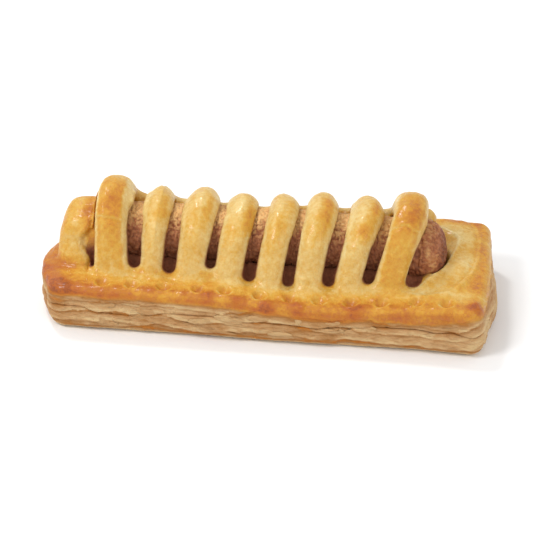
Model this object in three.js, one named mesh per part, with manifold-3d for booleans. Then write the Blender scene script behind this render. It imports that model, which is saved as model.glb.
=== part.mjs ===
// A frikandel roll: a skinless minced-meat sausage baked in a puff-pastry jacket.
// The jacket is one piece. A thick laminated base carries a sealed rim all round, and the sheet on top
// is slit into a row of strips that arch over the sausage, so that the meat shows between them.
// Millimetres, +Z up. +X points to the right end, where the sausage shows, and -Y to the front seam.
import * as THREE from "three";
import { mergeVertices } from "three/addons/utils/BufferGeometryUtils.js";
import Module from "manifold-3d";

const wasm = await Module();
wasm.setup();

// Laminated base and its sealed rim
const LENGTH = 160; // corner to corner along the rim
const WIDTH = 66;
const RIM_SHIFT = -1.6; // the front rim is a little wider than the back one
const RIM_HEIGHT = 18.6;
const RIM_RISE = 1.4; // the right end has puffed higher
const RIM_DROOP = 2.4; // the front rim hangs lower in its right half
const RIM_DROOP_X = 24;
const CORNER_RADIUS = 4.5;
const TOP_EDGE_RADIUS = 3.4;
const BOTTOM_EDGE_RADIUS = 4.5;
const RIGHT_BULGE = 4.2; // how far the end edges swell past their corners
const RIGHT_BULGE_TOP = 1.6; // the same at the rim's top
const RIGHT_BULGE_Y = -6;
const LEFT_BULGE = 8;
const LEFT_BULGE_Y = -12;

// Relief of the base's sides
const SPLIT_HEIGHT = 9; // where the two sheets of the seam meet
const SPLIT_DEPTH = 1.5;
const FLAKE_DEPTH = 0.9;
const FLAKE_PITCH = 3.4;
const SIDE_ROWS = [-0.16, 0.04, 0.24, 0.46, 0.6, 0.8, 0.94, 1]; // lines of the net, as shares of the height

// Docker marks pressed along the front and back seams
const MARK_COUNT = 12;
const MARK_FIRST = -62.4;
const MARK_PITCH = 11.8;
const MARK_RADIUS = 4.4;
const MARK_DEPTH = 0.7;
const MARK_INSET = 5.1; // from the rim's edge

// Sausage
const SAUSAGE_RADIUS = 12;
const SAUSAGE_LEFT = -69;
const SAUSAGE_RIGHT = 65;
const SAUSAGE_HEIGHT = 24; // of its axis over the table
const SAUSAGE_CAP = 8; // length of each rounded end
const SAUSAGE_SAG = 0.5;
const MEAT_GRAIN = 0.3;

// Space that the jacket leaves round the sausage
const GAP = 0.35;
const HOLLOW_WIDTH = 1.36; // width of the hollow over that of the sausage
const HOLLOW_END = 2.6; // free length beyond each end of the sausage

// Strips of the slit sheet, from left to right
const FIRST_SLIT = -66.7;
const SLIT_PITCH = 14.9;
const SLIT_SHIFT = [-0.6, 0, -1.6, -1, -0.8, -0.8, -0.5, -0.5, 1.2]; // unevenness of the cuts
const SLIT_FRONT = [89, 88, 90, 85, 91, 93, 91, 88, 90]; // degrees down from the crest, in front
const SLIT_BACK = [50, 49, 51, 55, 57, 52, 51, 49, 46];
const SLIT_HALF = [1.2, 3.2]; // half width of a slit's floor, and out to the crown of its strips
const SLIT_FLOOR = 10.5; // from the sausage's axis, inside the hollow, so that the slit is open
const SLIT_DROP = 6.5; // how far the front end of a slit sinks into the rim
const CREST = [21.2, 18.4, 18.5, 17.5, 18.1, 19.6, 19.3, 21.7]; // outside of each strip at the top
const LEAN = [-3, 0.9, 2.4, 3, 3.5, 2.8, 5.4, 6.4]; // sideways drift of each strip at the top
const SHOULDER = 1.5; // how far the crowns round off towards the slits
const WAIST = 19.5; // outside of the strips beside the sausage
const FLARE_START = 66; // degrees, where the strips begin to spread into the rim
const FLARE = { front: 3.4, back: 4 };
const FOOT_ANGLE = 100;
const FOOT = { front: 23.6, back: 23.4 }; // where the arch meets the rim, from the sausage's axis

// Left end: the sheet closes over the sausage in a dome. Right end: it stays open behind a collar.
const DOME_CREST = 12.8;
const DOME_LENGTH = 11.2;
const DOME_FULLNESS = 4; // how squarely the dome rises from the rim
const MOUTH_CENTRE = [53.5, 4];
const MOUTH_REACH = [15.6, 25.5, 17]; // to the right, the front and the back
const MOUTH_FLOOR = 14;
const COLLAR_HEIGHT = 2.6;
const COLLAR_WIDTH = 0.2; // as a share of the mouth's reach
const CREASE = 0.9;

const SLIVER = 0.03; // details thinner than this are merged into their surroundings
const HALF_LENGTH = LENGTH / 2;
const HALF_WIDTH = WIDTH / 2;
const STRIP_COUNT = CREST.length;
const { degToRad: radians, lerp, clamp, smoothstep } = THREE.MathUtils;
const indices = (count) => [...Array(count).keys()];

// A repeatable random number from 0 to 1 for each point of a whole-number grid
function dice(i, j, k) {
  const h = Math.sin(i * 127.1 + j * 311.7 + k * 74.7) * 43758.5453;
  return h - Math.floor(h);
}

// Smooth noise from -1 to 1 that wanders over a distance of one unit
function noise(x, y = 0, z = 0) {
  const [i, j, k] = [x, y, z].map(Math.floor);
  const [a, b, c] = [x - i, y - j, z - k].map((t) => t * t * (3 - 2 * t));
  const row = (dj, dk) => lerp(dice(i, j + dj, k + dk), dice(i + 1, j + dj, k + dk), a);
  return 2 * lerp(lerp(row(0, 0), row(1, 0), b), lerp(row(0, 1), row(1, 1), b), c) - 1;
}

// A bump of height 1 round a centre
function bell(x, centre, width) {
  return Math.exp(-(((x - centre) / width) ** 2));
}

// Moves every vertex of a geometry to where the given function puts it
function mould(geometry, place) {
  const position = geometry.getAttribute("position");
  const point = new THREE.Vector3();
  for (let i = 0; i < position.count; i++) {
    point.fromBufferAttribute(position, i);
    place(point);
    position.setXYZ(i, point.x, point.y, point.z);
  }
  return geometry;
}

// A closed geometry as a solid that can be joined and cut
function solid(geometry) {
  const bare = geometry.clone();
  bare.deleteAttribute("normal");
  bare.deleteAttribute("uv");
  const merged = mergeVertices(bare, 1e-3);
  return new wasm.Manifold(
    new wasm.Mesh({
      numProp: 3,
      vertProperties: Float32Array.from(merged.getAttribute("position").array),
      triVerts: Uint32Array.from(merged.index.array),
    }),
  );
}

// A joined solid back as a geometry, without the slivers that cuts leave
function geometryOf(manifold) {
  const mesh = manifold.simplify(SLIVER).getMesh();
  const geometry = new THREE.BufferGeometry();
  geometry.setAttribute("position", new THREE.BufferAttribute(mesh.vertProperties, 3));
  geometry.setIndex(new THREE.BufferAttribute(mesh.triVerts, 1));
  geometry.computeVertexNormals();
  return geometry;
}

function slitX(index) {
  return FIRST_SLIT + index * SLIT_PITCH + SLIT_SHIFT[index];
}

// A value that is listed strip by strip, going smoothly from each strip to the next
function perStrip(list, x) {
  const place = clamp((x - FIRST_SLIT) / SLIT_PITCH - 0.5, 0, STRIP_COUNT - 1);
  const i = Math.min(Math.floor(place), STRIP_COUNT - 2);
  return lerp(list[i], list[i + 1], smoothstep(place - i, 0.3, 0.7));
}

function rimHeight(x, y) {
  const droop = RIM_DROOP * bell(x, RIM_DROOP_X, 34) * smoothstep(-y, 16, 30);
  return RIM_HEIGHT + RIM_RISE * smoothstep(x, 0, HALF_LENGTH) - droop + 0.35 * noise(x / 17, y / 30);
}

// Rise of the sheet round the open end, and the crease where it meets the rim
function collar(x, y) {
  const reach = y < MOUTH_CENTRE[1] ? MOUTH_REACH[1] : MOUTH_REACH[2];
  const out = Math.hypot((x - MOUTH_CENTRE[0]) / MOUTH_REACH[0], (y - MOUTH_CENTRE[1]) / reach);
  const swell = 1 + 0.3 * noise(x / 7, y / 7);
  const band = COLLAR_HEIGHT * swell * bell(out, 1.06, COLLAR_WIDTH);
  return smoothstep(x, 50, 58) * (band - CREASE * bell(out, 1.32, 0.06));
}

// How far the side of the base is drawn in at a height: rounded edges, the split, and flaky layers
function sideInset(x, y, z, height) {
  const down = Math.max(0, TOP_EDGE_RADIUS - (height - z));
  const up = clamp(BOTTOM_EDGE_RADIUS - z, 0, BOTTOM_EDGE_RADIUS);
  const rounding =
    TOP_EDGE_RADIUS - Math.sqrt(TOP_EDGE_RADIUS ** 2 - down ** 2) +
    BOTTOM_EDGE_RADIUS - Math.sqrt(BOTTOM_EDGE_RADIUS ** 2 - up ** 2);
  const split = SPLIT_DEPTH * bell(z, SPLIT_HEIGHT + 1.2 * noise(x / 22, y / 22, 8.5), 1.3);
  const wander = 1.5 * noise(x / 26, y / 26, 1.5);
  const flakes = FLAKE_DEPTH * noise(((z + wander) / FLAKE_PITCH) * 1.6, x / 12, y / 12);
  const inside = smoothstep(z, 0, 3) * (1 - smoothstep(z, height - 3, height));
  return rounding + inside * (split + flakes);
}

// Swelling of the outline past the straight rim
function swellOutline(point) {
  const swell = lerp(RIGHT_BULGE, RIGHT_BULGE_TOP, smoothstep(point.z, 8, 19));
  point.x += smoothstep(point.x, 60, HALF_LENGTH) * swell * bell(point.y, RIGHT_BULGE_Y, 22);
  point.x -= smoothstep(-point.x, 74, 81) * LEFT_BULGE * bell(point.y, LEFT_BULGE_Y, 17);
  point.y += (Math.abs(point.y) / HALF_WIDTH) * 0.9 * noise(point.x / 19, Math.sign(point.y) * 5.5);
}

// Lines of the sheet's net across its length: close together beside the slits
function netColumns() {
  const slits = indices(STRIP_COUNT + 1).map(slitX);
  const columns = [-HALF_LENGTH, HALF_LENGTH];
  for (const x of slits) {
    for (const step of [SLIT_HALF[0], 2.3, 4.1]) columns.push(x - step, x + step);
  }
  for (const i of indices(STRIP_COUNT)) columns.push((slits[i] + slits[i + 1]) / 2);
  for (let x = slits[0] - 6; x > 3.8 - HALF_LENGTH; x -= 1.15) columns.push(x);
  for (let x = slits.at(-1) + 7; x < HALF_LENGTH - 3.5; x += 2.3) columns.push(x);
  return columns.sort((a, b) => a - b);
}

// Lines of the net across its width: places on the rims, and angles on the arch from front to back
function netRows() {
  const rim = [1, 0.86, 0.62, 0.3];
  const rows = rim.map((place) => ({ side: -1, place }));
  for (let degrees = -FOOT_ANGLE; degrees < FOOT_ANGLE; ) {
    rows.push({ degrees });
    const toEnd = Math.min(Math.abs(degrees + 92), Math.abs(degrees - 58));
    degrees += toEnd < 9 ? 4.5 : 9.5;
  }
  rows.push({ degrees: FOOT_ANGLE });
  return rows.concat(rim.toReversed().map((place) => ({ side: 1, place })));
}

// How much of the arch stands at a place: it closes in a dome on the left, and ends on the right
function vaultShare(x, degrees) {
  const out = clamp((slitX(0) - x) / DOME_LENGTH, 0, 1);
  const dome = (1 - out ** DOME_FULLNESS) ** (1 / DOME_FULLNESS);
  const end = slitX(STRIP_COUNT);
  const front = 1 - smoothstep(x, end - 1.6, end + 1.6);
  const back = 1 - smoothstep(x, end, end + 9);
  return dome * lerp(front, back, smoothstep(degrees, 10, 60));
}

// How deep the slits sink at a place, from 0 to 1, and how near their edge it is
function slitShare(x, degrees) {
  const i = clamp(Math.round((x - FIRST_SLIT) / SLIT_PITCH), 0, STRIP_COUNT);
  const past = Math.max(0, -degrees - SLIT_FRONT[i], degrees - SLIT_BACK[i]);
  const away = Math.hypot(x - slitX(i), past * radians(22));
  return { depth: 1 - smoothstep(away, ...SLIT_HALF), edge: 1 - smoothstep(away, 2, 6.4) };
}

// Outside of the sheet, as a distance from the sausage's axis
function sheetRadius(x, degrees) {
  const steep = Math.abs(degrees);
  const domed = lerp(DOME_CREST, perStrip(CREST, x), smoothstep(x, slitX(0) - 2, slitX(0) + 2));
  const swell = 0.5 * noise(degrees / 34, x / 7) * (1 - smoothstep(steep, 70, 95));
  const arch = lerp(domed, WAIST, smoothstep(steep, 25, 80)) + swell;
  const spread = Math.max(0, (steep - FLARE_START) / (FOOT_ANGLE - FLARE_START));
  const flare = (degrees < 0 ? FLARE.front : FLARE.back) * spread ** 3;
  const slit = slitShare(x, degrees);
  const fading = 1 - smoothstep(steep, 60, 95) * 0.6;
  return lerp(arch + flare - SHOULDER * slit.edge * fading, SLIT_FLOOR, slit.depth);
}

// Top of the jacket at a column and a row of the net
function placeOnSheet(point, x, row) {
  if (row.side) {
    const foot = row.side < 0 ? FOOT.front : FOOT.back;
    point.y = row.side * lerp(foot, HALF_WIDTH - TOP_EDGE_RADIUS, row.place) + RIM_SHIFT * row.place;
    point.x = x;
    point.z = rimHeight(x, point.y) + collar(x, point.y);
    return;
  }
  const a = radians(row.degrees);
  const radius = sheetRadius(x, row.degrees);
  const share = vaultShare(x, row.degrees);
  const narrow = x < slitX(0) ? lerp(0.6, 1, share) : 1;
  point.y = radius * Math.sin(a) * narrow;
  const ground = rimHeight(x, point.y) + collar(x, point.y);
  const arch = SAUSAGE_HEIGHT + radius * Math.cos(a);
  const sunk = SLIT_DROP * slitShare(x, row.degrees).depth * smoothstep(-row.degrees, 60, 88);
  point.z = lerp(ground, arch - sunk, share);
  const within = smoothstep(x, -78, slitX(0)) * (1 - smoothstep(x, slitX(STRIP_COUNT), 70));
  const raised = 1 - smoothstep(Math.abs(row.degrees), 20, FOOT_ANGLE);
  point.x = x + perStrip(LEAN, x) * within * raised;
}

// Jacket before the sausage's hollow is taken out: one net, closed by its sides, and sunk a little
// below the table's level, where the underside is cut flat
function shell() {
  const columns = netColumns();
  const rows = netRows();
  const [nx, ny, nz] = [columns.length - 1, rows.length - 1, SIDE_ROWS.length - 1];
  const rowY = (row) => {
    const foot = (row.side ?? row.degrees) < 0 ? FOOT.front : FOOT.back;
    if (row.side) return row.side * lerp(foot, HALF_WIDTH, row.place) + RIM_SHIFT * row.place;
    return (row.degrees / FOOT_ANGLE) * foot;
  };
  return mould(new THREE.BoxGeometry(2, 2, 2, nx, ny, nz), (p) => {
    const x = columns[Math.round(((p.x + 1) / 2) * nx)];
    const row = rows[Math.round(((p.y + 1) / 2) * ny)];
    if (p.z > 0.999 && Math.abs(p.x) < 0.999 && Math.abs(p.y) < 0.999) {
      placeOnSheet(p, x, row);
      swellOutline(p);
      return;
    }
    const y = rowY(row) - RIM_SHIFT;
    const over = new THREE.Vector2(
      Math.max(0, Math.abs(x) - (HALF_LENGTH - CORNER_RADIUS)),
      Math.max(0, Math.abs(y) - (HALF_WIDTH - CORNER_RADIUS)),
    );
    const pull = 1 - Math.max(over.x, over.y) / Math.max(1e-6, over.length());
    const height = rimHeight(x, y);
    const z = height * SIDE_ROWS[Math.round(((p.z + 1) / 2) * nz)];
    const inset = sideInset(x, y, z, height);
    p.set(
      x - Math.sign(x) * over.x * pull - (Math.abs(p.x) > 0.999 ? Math.sign(p.x) * inset : 0),
      y - Math.sign(y) * over.y * pull - (Math.abs(p.y) > 0.999 ? Math.sign(p.y) * inset : 0) + RIM_SHIFT,
      z,
    );
    swellOutline(p);
  });
}

// The sausage's form, also used a little larger for the hollow that it lies in
function meatForm(radiusY, radiusZ, left, right, rough, around, along) {
  const form = new THREE.CapsuleGeometry(1, 2, 5, around, along);
  const middle = (left + right) / 2;
  const half = (right - left) / 2;
  return mould(form, (p) => {
    const end = Math.max(0, Math.abs(p.y) - 1);
    const straight = half - SAUSAGE_CAP;
    const x = Math.sign(p.y) * (end > 0 ? straight + SAUSAGE_CAP * end : straight * Math.abs(p.y));
    const grain = 1 + (rough / SAUSAGE_RADIUS) * noise(x / 2.6, p.x * 4.5, p.z * 4.5);
    const bow = SAUSAGE_SAG * Math.cos((x / half) * Math.PI);
    p.set(middle + x, -p.x * radiusY * grain, SAUSAGE_HEIGHT + bow + p.z * radiusZ * grain);
  });
}

function sausage() {
  return meatForm(SAUSAGE_RADIUS, SAUSAGE_RADIUS, SAUSAGE_LEFT, SAUSAGE_RIGHT, MEAT_GRAIN, 24, 30);
}

function hollow() {
  const room = SAUSAGE_RADIUS + GAP + MEAT_GRAIN;
  const ends = [SAUSAGE_LEFT - HOLLOW_END, SAUSAGE_RIGHT + HOLLOW_END];
  return meatForm(room * HOLLOW_WIDTH, room, ...ends, 0, 28, 16);
}

// Wider opening round the sausage's right end
function mouth() {
  const [x, y] = MOUTH_CENTRE;
  const [right, front, back] = MOUTH_REACH;
  return mould(new THREE.SphereGeometry(1, 32, 20), (p) => {
    const wall = 1 + 0.03 * noise(p.x * 3, p.y * 3, p.z * 3);
    p.set(
      x + p.x * (p.x > 0 ? right : 2.4) * wall,
      y + p.y * (p.y > 0 ? back : front) * wall,
      24 + p.z * (p.z > 0 ? 4 : 24 - MOUTH_FLOOR),
    );
  });
}

// One docker mark: a shallow round dent in the rim's top
function dockerMark(index, side) {
  const x = MARK_FIRST + index * MARK_PITCH + 1.6 * noise(index * 1.7, side * 3.3);
  const y = side * (HALF_WIDTH - MARK_INSET) + RIM_SHIFT / 2 + 0.8 * noise(index * 2.3, 4.4);
  const ball = new THREE.IcosahedronGeometry(MARK_RADIUS, 1);
  ball.translate(x, y, rimHeight(x, y) + MARK_RADIUS - MARK_DEPTH);
  return ball;
}

function jacket() {
  const aboveTable = new THREE.BoxGeometry(2 * LENGTH, 2 * WIDTH, 100);
  aboveTable.translate(0, 0, 50);
  let body = solid(shell()).intersect(solid(aboveTable));
  body = body.subtract(solid(hollow())).subtract(solid(mouth()));
  for (const side of [-1, 1]) {
    for (const i of indices(MARK_COUNT)) {
      body = body.subtract(solid(dockerMark(i, side)));
    }
  }
  return body;
}

const crust = new THREE.MeshStandardMaterial({ color: "#e0a85a", roughness: 0.5, metalness: 0 });
const meat = new THREE.MeshStandardMaterial({ color: "#a06a4a", roughness: 0.75, metalness: 0 });

const pastry = new THREE.Mesh(geometryOf(jacket()), crust);
pastry.name = "pastry";
const frikandel = new THREE.Mesh(sausage(), meat);
frikandel.name = "frikandel";

const roll = new THREE.Group();
roll.name = "frikandel_roll";
roll.add(pastry, frikandel);

// The origin is under the middle of the roll's box
pastry.geometry.computeBoundingBox();
const { min, max } = pastry.geometry.boundingBox;
roll.position.set(-(min.x + max.x) / 2, -(min.y + max.y) / 2, -min.z);

export default roll;
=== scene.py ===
"""Frikandel roll: a minced-meat sausage baked in a puff-pastry jacket whose top sheet is slit into strips.

The jacket is worked out as a solid field, in millimetres round the sausage's axis, and turned into two
meshes: the glossy golden sheet on top, and the pale laminated base under it.
"""

import math

import bmesh
import bpy
import numpy as np
import openvdb
from bpy.props import FloatProperty, FloatVectorProperty, IntProperty, PointerProperty
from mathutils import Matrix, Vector


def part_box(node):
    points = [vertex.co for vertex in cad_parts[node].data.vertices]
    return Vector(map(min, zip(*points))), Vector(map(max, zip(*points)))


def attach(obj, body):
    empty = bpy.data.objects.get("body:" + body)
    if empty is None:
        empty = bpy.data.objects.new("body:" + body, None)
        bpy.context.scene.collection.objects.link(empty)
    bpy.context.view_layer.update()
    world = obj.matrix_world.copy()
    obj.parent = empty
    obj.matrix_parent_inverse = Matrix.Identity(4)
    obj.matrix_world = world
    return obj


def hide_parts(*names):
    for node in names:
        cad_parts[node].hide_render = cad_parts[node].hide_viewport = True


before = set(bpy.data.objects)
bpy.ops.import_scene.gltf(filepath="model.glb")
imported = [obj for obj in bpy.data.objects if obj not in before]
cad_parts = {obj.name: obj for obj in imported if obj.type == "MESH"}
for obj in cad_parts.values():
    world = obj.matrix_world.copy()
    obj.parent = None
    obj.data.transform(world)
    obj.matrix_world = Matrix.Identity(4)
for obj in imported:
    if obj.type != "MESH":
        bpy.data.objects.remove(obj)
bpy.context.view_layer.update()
MEAT_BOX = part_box("frikandel")

bl_info = {
    "name": "Frikandel Roll",
    "version": (1, 0, 0),
    "blender": (4, 5, 0),
    "location": "View3D > Sidebar > Frikandel",
    "description": "Builds a baked frikandel roll with its flaky jacket, its sausage and a small studio",
    "category": "Object",
}

MM = 0.001
MOST_TRIANGLES = 196000  # most triangles that a sheet keeps after thinning; an exported piece is thinned past 200,000

# The jacket's plan and rim, in millimetres from the sausage's axis
LENGTH, WIDTH, RIM_SHIFT = 160.0, 66.0, -1.6
RIM_HEIGHT, RIM_RISE, RIM_DROOP, RIM_DROOP_X = 18.6, 1.4, 2.4, 24.0
CORNER_RADIUS, TOP_EDGE_RADIUS, BOTTOM_EDGE_RADIUS, RIM_SWELL = 4.5, 3.4, 4.5, 0.75
RIGHT_BULGE, RIGHT_BULGE_TOP, RIGHT_BULGE_Y, RIGHT_BULGE_WIDTH = 4.2, 1.6, -6.0, 22.0
LEFT_BULGE, LEFT_BULGE_Y, LEFT_BULGE_WIDTH = 8.0, -12.0, 17.0
SPLIT_HEIGHT, SPLIT_DEPTH = 9.0, 1.5
HALF_LENGTH, HALF_WIDTH = LENGTH / 2, WIDTH / 2

# Sausage, with the part of it that is straight, and the hollow round it
MEAT_RADIUS, MEAT_LEFT, MEAT_RIGHT, MEAT_HEIGHT, MEAT_CAP, MEAT_SAG = 12.0, -69.0, 65.0, 24.0, 8.0, 0.5
STRAIGHT_RINGS, CAP_RINGS = 0.88, 0.12
HOLLOW_ROOM, HOLLOW_END, HOLLOW_SHIFT, HOLLOW_EDGE = 12.65, 0.9, 0.7, 0.8
HOLLOW_WIDTH, MOUTH_WIDTH, UPPER_WIDTH = 1.2, 1.04, 1.02  # the hollow's width against its height

# Slits and strips, from left to right
SLIT_COUNT = 9
FIRST_SLIT, SLIT_PITCH = -66.7, 14.9
SLIT_SHIFT = np.array([-2.6, -0.2, -1.6, -1, -0.8, -0.8, -0.5, -0.5, 1.2])
SLITS = FIRST_SLIT + SLIT_PITCH * np.arange(SLIT_COUNT) + SLIT_SHIFT
LAST_SLIT, LAST_STRIP = SLITS[-1], SLIT_COUNT - 2
FIRST_EDGE = 2.2  # right side of the first slit, from its middle
FIRST_SILL = 13.4  # how near the axis the first slit is cut
# Where each slit stops in front: height plus FALL times y, which drops down the flank and on over the rim
FALL = 0.613
SLIT_STOP = np.array([6.5, 8.2, 7.0, 10.2, 5.8, 4.7, 5.9, 7.6, 8.9])
SLIT_WIDTH = np.array([3.4, 4.0, 4.4, 3.2, 4.4, 3.8, 4.0, 4.2, 3.8])
SLIT_BACK = np.array([50, 51, 56, 61, 64, 59, 57, 55, 50.0])  # angle where each stops behind the top
BACK_RADIUS = 22.0  # of the arch there
CREST = np.array([21.2, 18.4, 18.5, 17.5, 18.1, 19.6, 19.3, 21.7])
LEAN = np.array([-3, 0.9, 2.4, 3, 3.5, 2.8, 5.4, 6.4])
SLIT_HALF, SLIT_ROUND, END_ROUND, FIRST_ROUND = 1.9, 4.0, 2.8, 3.0
CROWN_FALL, DOME_FALL, LEAN_ANGLE = 1.5, 0.15, 12.0
FIRST_CRACK, LAST_CRACK = -46.0, -37.5  # angles of the cracks across the first and the last strip
WAIST, FOOT_ANGLE, FLARE_START, FLARE_FRONT, FLARE_BACK = 19.5, 100.0, 66.0, 3.4, 4.0
DOME_CREST, DOME_LENGTH, DOME_FULLNESS, DOME_BACK, DOME_WAIST = 13.4, 13.4, 3.4, 14.8, 0.6
SHEET_FILLET = 2.5  # between the arched sheet and the rim

# The open end: centre, then reach to the right, front and back, and how square the outline is
MOUTH = (53.0, 14.0, 15.5, 34.5, 11.0, 1.55)
COLLAR = (58.0, 14.0, 17.2, 36.8, 22.0, 2.3)
MOUTH_FLOOR, MOUTH_TOP, MOUTH_SLOPE = 17.4, 6.0, 12.0
COLLAR_HEIGHT, LIP, CREASE = 1.3, 0.6, 0.6
PIT_FLOOR, BED_RADIUS, FILLET = 16.3, 11.8, 5.4

# Blocks of space that the two sheets are worked out in, and the gap between the sheets
GRID_X, GRID_Y, TOP_Z, BASE_Z = (-92.0, 87.5), (-38.5, 37.5), (6.0, 48.0), (-1.3, 12.0)
SEAM_GAP, SEAM_ROUND, HIDDEN_KEPT = 0.03, 0.55, 0.06

# How browned the crust gets at most, the sizes of its speckles and streaks, and seeds of the loose leaves
MOST_BAKED, CRUST_SPECKLES, MEAT_SPECKLES, LEAF_STREAKS = 0.9, 560.0, 700.0, 1500.0
TURN_SEED, SIZE_SEED, BAKE_SEED = 11, 23, 37


def smoothstep(x, low, high):
    t = np.clip((x - low) / (high - low), 0, 1)
    return t * t * (3 - 2 * t)


def fade(x, low, high):
    """1 up to the low value, 0 from the high one"""
    return 1 - smoothstep(x, low, high)


def lerp(a, b, t):
    return a + (b - a) * t


def bell(x, centre, width):
    return np.exp(-(((x - centre) / width) ** 2))


def mound(away, power):
    """1 in the middle, falling off round it: the higher the power, the flatter its top"""
    return np.exp(-(away**power))


def dice(i, j, k):
    """A repeatable random number from 0 to 1 for each point of a whole-number grid"""
    h = np.sin(i * 127.1 + j * 311.7 + k * 74.7) * 43758.5453
    return h - np.floor(h)


def noise(x, y=0.0, z=0.0):
    """Smooth noise from -1 to 1 that wanders over a distance of one unit"""
    cell, part, low, span = [], [], [], []
    for v in (x, y, z):
        v = np.asarray(v, dtype=np.float32)
        i = np.floor(v)
        t = v - i
        part.append(t * t * (3 - 2 * t))
        low.append(int(i.min()))
        span.append(int(i.max()) - low[-1] + 2)
        cell.append((i - low[-1]).astype(np.int32))
    grid = np.meshgrid(*[np.arange(n, dtype=float) + a for n, a in zip(span, low)], indexing="ij")
    table = dice(*grid).astype(np.float32).ravel()
    at = (cell[0] * span[1] + cell[1]) * span[2] + cell[2]
    row, layer = span[1] * span[2], span[2]
    a, b, c = part

    def along(offset):
        start = table[at + offset]
        return start + (table[at + offset + row] - start) * a

    near = lerp(along(0), along(layer), b)
    far = lerp(along(1), along(layer + 1), b)
    return 2 * lerp(near, far, c) - 1


def rough(x, y=0.0, z=0.0, octaves=3):
    """Noise of several sizes added up"""
    total, size = 0, 1.0
    for n in range(octaves):
        total = total + noise(x * 2**n + 17 * n, y * 2**n + 5 * n, z * 2**n) * size
        size *= 0.5
    return total / 1.75


def round_max(a, b, radius):
    """Where two solids overlap, with that radius on the edge between them"""
    out = np.hypot(np.maximum(a + radius, 0), np.maximum(b + radius, 0))
    return np.minimum(np.maximum(a, b), -radius) + out


def soft_min(a, b, width):
    """Two solids joined with a fillet"""
    h = np.maximum(width - np.abs(a - b), 0) / width
    return np.minimum(a, b) - h * h * width / 4


def per_strip(values, x):
    place = np.clip((x - FIRST_SLIT) / SLIT_PITCH - 0.5, 0, SLIT_COUNT - 2)
    i = np.minimum(np.floor(place), SLIT_COUNT - 3).astype(int)
    return lerp(values[i], values[i + 1], smoothstep(place - i, 0.3, 0.7))


TABLE_X = np.linspace(-95, 95, 1901)
LEAN_TABLE = per_strip(LEAN, TABLE_X) * smoothstep(TABLE_X, -72, -58) * fade(TABLE_X, LAST_SLIT, 70)
FROM_DOME = smoothstep(TABLE_X, SLITS[0] - 1, SLITS[0] + 2)
CREST_TABLE = lerp(DOME_CREST, per_strip(CREST, TABLE_X), FROM_DOME)


def straight_plan(x, y):
    """Takes the swelling of the ends out of a place on the table, so that the rim is a plain rectangle"""
    px, py = x, y
    for _ in range(7):
        right = smoothstep(px, 60, HALF_LENGTH) * RIGHT_BULGE_TOP * bell(py, RIGHT_BULGE_Y, RIGHT_BULGE_WIDTH)
        left = smoothstep(-px, 74, 81) * LEFT_BULGE * bell(py, LEFT_BULGE_Y, LEFT_BULGE_WIDTH)
        side = (np.abs(py) / HALF_WIDTH) * 0.9 * noise(px / 19, np.sign(py) * 5.5)
        px, py = px - (px + right - left - x) / 2.4, y - side
    return px.astype(np.float32), py.astype(np.float32)


def rim_distance(px, py):
    """Distance from the rim's outline, less the radius of its corners, on the straightened plan"""
    over_x = np.abs(px) - (HALF_LENGTH - CORNER_RADIUS)
    over_y = np.abs(py - RIM_SHIFT) - (HALF_WIDTH - CORNER_RADIUS)
    return np.hypot(np.maximum(over_x, 0), np.maximum(over_y, 0)) + np.minimum(np.maximum(over_x, over_y), 0)


def rim_height(x, y):
    droop = RIM_DROOP * bell(x, RIM_DROOP_X, 34) * smoothstep(-y, 16, 30)
    return RIM_HEIGHT + RIM_RISE * smoothstep(x, 0, HALF_LENGTH) - droop + 0.35 * noise(x / 17, y / 30)


def reach_of(x, y, outline):
    """1 on an outline of the open end, less inside it and more outside it"""
    cx, cy, right, front, back, power = outline
    along, across = np.abs(x - cx) / right, np.abs(y - cy) / np.where(y < cy, front, back)
    return (along**power + across**power) ** (1 / power)


def collar(x, y):
    """Sheet round the open end: a lip at the hole, a slope, and a crease where the rim starts"""
    hole, fold = reach_of(x, y, MOUTH), reach_of(x, y, COLLAR)
    slope = COLLAR_HEIGHT * (1 - 0.55 * smoothstep(fold, 0.75, 1.0)) * fade(fold, 0.99, 1.03)
    slope = slope + LIP * bell(hole, 1.05, 0.05) + 0.4 * noise(x / 6, y / 6) * (fold < 1)
    rim = 0.9 * bell(fold, 1.08, 0.06) - CREASE * bell(fold, 0.99, 0.04)
    rim = rim * fade(y, 16, 25)
    return smoothstep(x, 50, 58) * (slope + rim * (0.75 + 0.8 * noise(x / 6, y / 6, 2.6)))


# Toasted places on the strips: strip, place across it, angle from the top, their sizes, and how brown
TOASTED = [(1, 0.55, 33, 0.25, 12, 0.14), (1, 0.5, 6, 0.3, 14, 0.06), (2, 0.66, 24, 0.14, 20, 0.16),
           (3, 0.7, 31, 0.14, 26, 0.18), (4, 0.66, 6, 0.2, 14, 0.12), (4, 0.5, 40, 0.3, 12, 0.05),
           (5, 0.62, 5, 0.2, 14, 0.14), (5, 0.52, 24, 0.2, 14, 0.1), (6, 0.7, 5, 0.18, 16, 0.14),
           (6, 0.5, 40, 0.24, 12, 0.17), (7, 0.6, 14, 0.3, 22, 0.1), (0, 0.55, 8, 0.3, 26, 0.06)]

# Baked blisters along the front rim: place along the roll, place across it, and size
BLISTERS = [(-44.1, -31.6, 2.6), (-22, -32.6, 2.2), (-10.4, -33.4, 2.4), (0.6, -33.6, 2.3),
            (12, -33.4, 2.2), (33.7, -33.2, 3.0), (77.8, -30.6, 2.6), (-78.2, -31.5, 3.4)]

# Scorched corners: centre, size, and how brown
SCORCHED = ((-79, -32.5, 16.5, 4.6, 0.3), (78.6, -31.2, 18.4, 2.9, 0.36))

# Docker marks along the front and the back rim, and the small bubbles of the crust
MARK_RADIUS, MARK_DEPTH, FIRST_MARK, MARK_PITCH, MARK_ROW = 2.25, 1.7, -62.4, 11.8, 27.9
FRONT_MARKS, BACK_MARKS, BUBBLES = 12, 10, 70


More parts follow.
